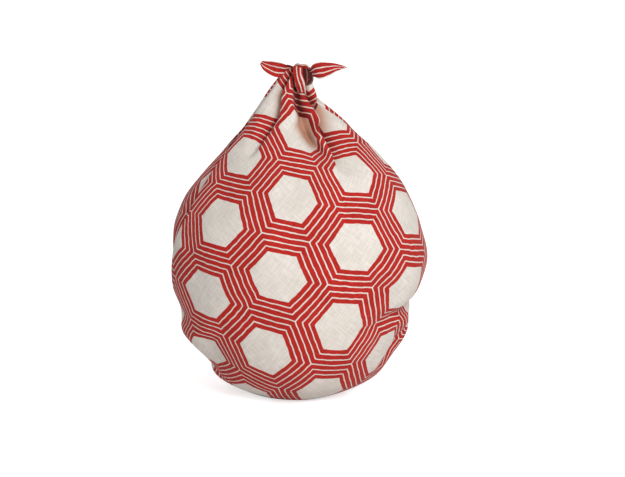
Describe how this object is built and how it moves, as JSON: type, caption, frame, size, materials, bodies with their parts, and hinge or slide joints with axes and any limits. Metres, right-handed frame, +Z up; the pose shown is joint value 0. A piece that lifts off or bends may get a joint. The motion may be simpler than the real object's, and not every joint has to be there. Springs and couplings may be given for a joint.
{
  "type": "tied furoshiki wrap",
  "caption": "Square printed cloth drawn up round a rounded bundle, with its side corners tucked in and its top corners tied in a small knot with two ears.",
  "frame": {"origin": "middle of the flat foot, on the surface it stands on", "axes": "+Z up through the knot, the front faces -Y, +X to the right seen from the front"},
  "size_m": [0.2558, 0.2086, 0.3376],
  "materials": {
    "printed_cloth": "matte plain-weave cotton with slubs, printed in red on natural cream"
  },
  "bodies": {
    "root": {"furoshiki_cloth": "printed_cloth"}
  },
  "joints": []
}
